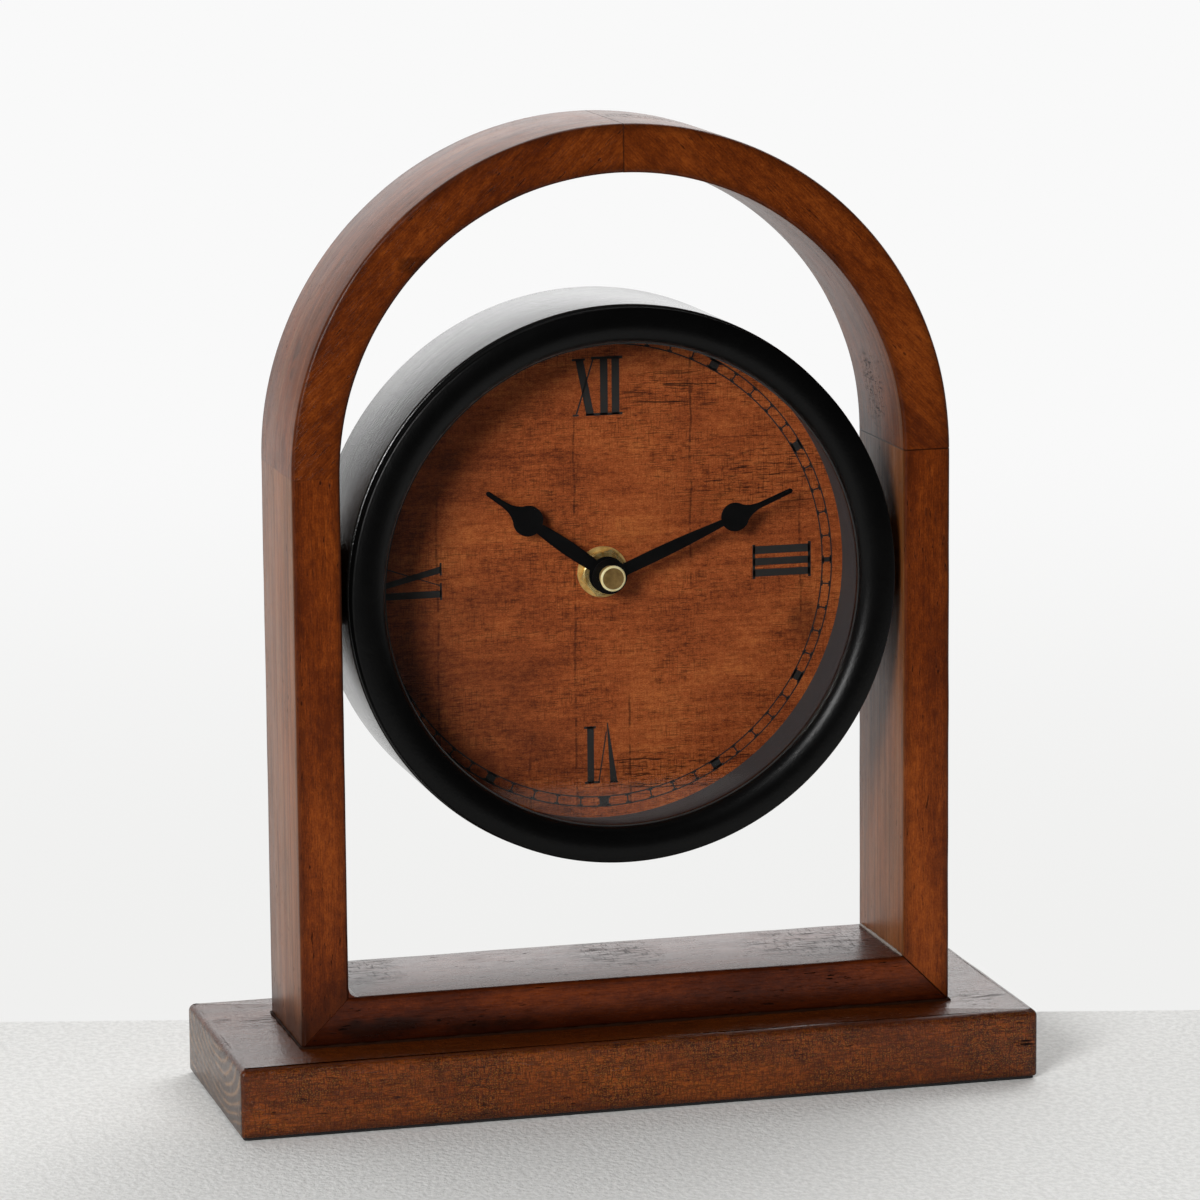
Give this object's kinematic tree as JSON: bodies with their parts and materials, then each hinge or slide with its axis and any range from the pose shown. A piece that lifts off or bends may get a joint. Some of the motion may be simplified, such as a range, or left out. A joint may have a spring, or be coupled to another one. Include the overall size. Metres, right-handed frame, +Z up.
{
  "type": "desk clock",
  "caption": "Desk clock: a round black drum with a glazed wood-print dial, held in an arched wooden frame on a board, with hands and a battery movement.",
  "frame": {"origin": "middle of the underside of the foot pad, on the surface that the clock stands on", "axes": "+Z up, +Y away from the viewer who reads the dial, +X to that viewer's right"},
  "size_m": [0.2346, 0.0786, 0.2794],
  "materials": {
    "stained_wood": "satin lacquer over reddish-brown stain",
    "dowel_wood": "bare",
    "black_wood": "satin black paint",
    "foot_pad": "matt foam",
    "dial_print": "printed wood grain, satin",
    "glass": "clear, polished",
    "black_metal": "satin black",
    "brass": "polished",
    "steel": "plain",
    "copper": "enamelled copper wire",
    "black_plastic": "moulded",
    "white_plastic": "moulded",
    "rubber": "matt",
    "circuit": "solder resist",
    "battery": "plain jacket"
  },
  "bodies": {
    "stand": {"base_board": "stained_wood", "bottom_rail": "stained_wood", "left_post": "stained_wood", "right_post": "stained_wood", "arch_left": "stained_wood", "arch_right": "stained_wood", "left_dowel_front": "dowel_wood", "left_dowel_back": "dowel_wood", "right_dowel_front": "dowel_wood", "right_dowel_back": "dowel_wood", "apex_dowel_front": "dowel_wood", "apex_dowel_back": "dowel_wood", "drum_shell": "black_wood", "bezel_ring": "black_wood", "spacer_left": "black_wood", "spacer_right": "black_wood", "base_pad": "foot_pad", "dial_board": "dial_print", "glass_lens": "glass", "threaded_bush": "brass", "brass_washer": "brass", "hex_nut": "brass", "base_screw_left": "steel", "base_screw_right": "steel", "drum_screw_left_lower": "steel", "drum_screw_left_upper": "steel", "drum_screw_right_lower": "steel", "drum_screw_right_upper": "steel", "stator_plate": "steel", "coil_core": "steel", "quartz_crystal": "steel", "negative_contact": "steel", "positive_contact": "steel", "coil_winding": "copper", "movement_case": "black_plastic", "movement_cover": "black_plastic", "timer_chip": "black_plastic", "coil_bobbin": "white_plastic", "middle_plate": "white_plastic", "rubber_washer": "rubber", "circuit_board": "circuit", "battery_cell": "battery"},
    "minute_works": {"minute_hand": "black_metal", "minute_hand_collar": "black_metal", "cap_nut": "brass", "minute_shaft": "brass", "clutch_spring": "steel"},
    "hour_works": {"hour_hand": "black_metal", "hour_hand_collar": "black_metal", "hour_wheel": "white_plastic"},
    "motion_wheel_body": {"motion_wheel": "white_plastic"},
    "set_knob_body": {"set_knob": "white_plastic"},
    "rotor_body": {"rotor": "steel"},
    "fifth_wheel_body": {"fifth_wheel": "white_plastic"},
    "seconds_wheel_body": {"seconds_wheel": "white_plastic"},
    "third_wheel_body": {"third_wheel": "white_plastic"},
    "centre_wheel_body": {"centre_wheel": "white_plastic"}
  },
  "joints": [
    {"name": "minute_hand_turn", "type": "hinge", "parent": "stand", "child": "minute_works", "pos_m": [0, 0, 0.148], "axis": [0, 1, 0], "continuous": true},
    {"name": "hour_hand_turn", "type": "hinge", "parent": "stand", "child": "hour_works", "pos_m": [0, 0, 0.148], "axis": [0, 1, 0], "continuous": true},
    {"name": "motion_wheel_turn", "type": "hinge", "parent": "stand", "child": "motion_wheel_body", "pos_m": [0.005, 0, 0.15666], "axis": [0, 1, 0], "continuous": true},
    {"name": "set_knob_turn", "type": "hinge", "parent": "stand", "child": "set_knob_body", "pos_m": [0.0144, 0, 0.16008], "axis": [0, 1, 0], "continuous": true},
    {"name": "rotor_turn", "type": "hinge", "parent": "stand", "child": "rotor_body", "pos_m": [-0.00976, 0, 0.16159], "axis": [0, 1, 0], "continuous": true},
    {"name": "fifth_wheel_turn", "type": "hinge", "parent": "stand", "child": "fifth_wheel_body", "pos_m": [-0.00479, 0, 0.15566], "axis": [0, 1, 0], "continuous": true},
    {"name": "seconds_wheel_turn", "type": "hinge", "parent": "stand", "child": "seconds_wheel_body", "pos_m": [0, 0, 0.148], "axis": [0, 1, 0], "continuous": true},
    {"name": "third_wheel_turn", "type": "hinge", "parent": "stand", "child": "third_wheel_body", "pos_m": [-0.00873, 0, 0.14614], "axis": [0, 1, 0], "continuous": true},
    {"name": "centre_wheel_turn", "type": "hinge", "parent": "stand", "child": "centre_wheel_body", "pos_m": [0, 0, 0.148], "axis": [0, 1, 0], "continuous": true}
  ],
  "couplings": [
    {"joint": "motion_wheel_turn", "follows": "minute_hand_turn", "ratio": -0.33333},
    {"joint": "hour_hand_turn", "follows": "minute_hand_turn", "ratio": 0.083333},
    {"joint": "set_knob_turn", "follows": "minute_hand_turn", "ratio": 1},
    {"joint": "fifth_wheel_turn", "follows": "rotor_turn", "ratio": -0.2},
    {"joint": "seconds_wheel_turn", "follows": "rotor_turn", "ratio": 0.033333},
    {"joint": "third_wheel_turn", "follows": "rotor_turn", "ratio": -0.0041667},
    {"joint": "centre_wheel_turn", "follows": "rotor_turn", "ratio": 0.00055556}
  ]
}
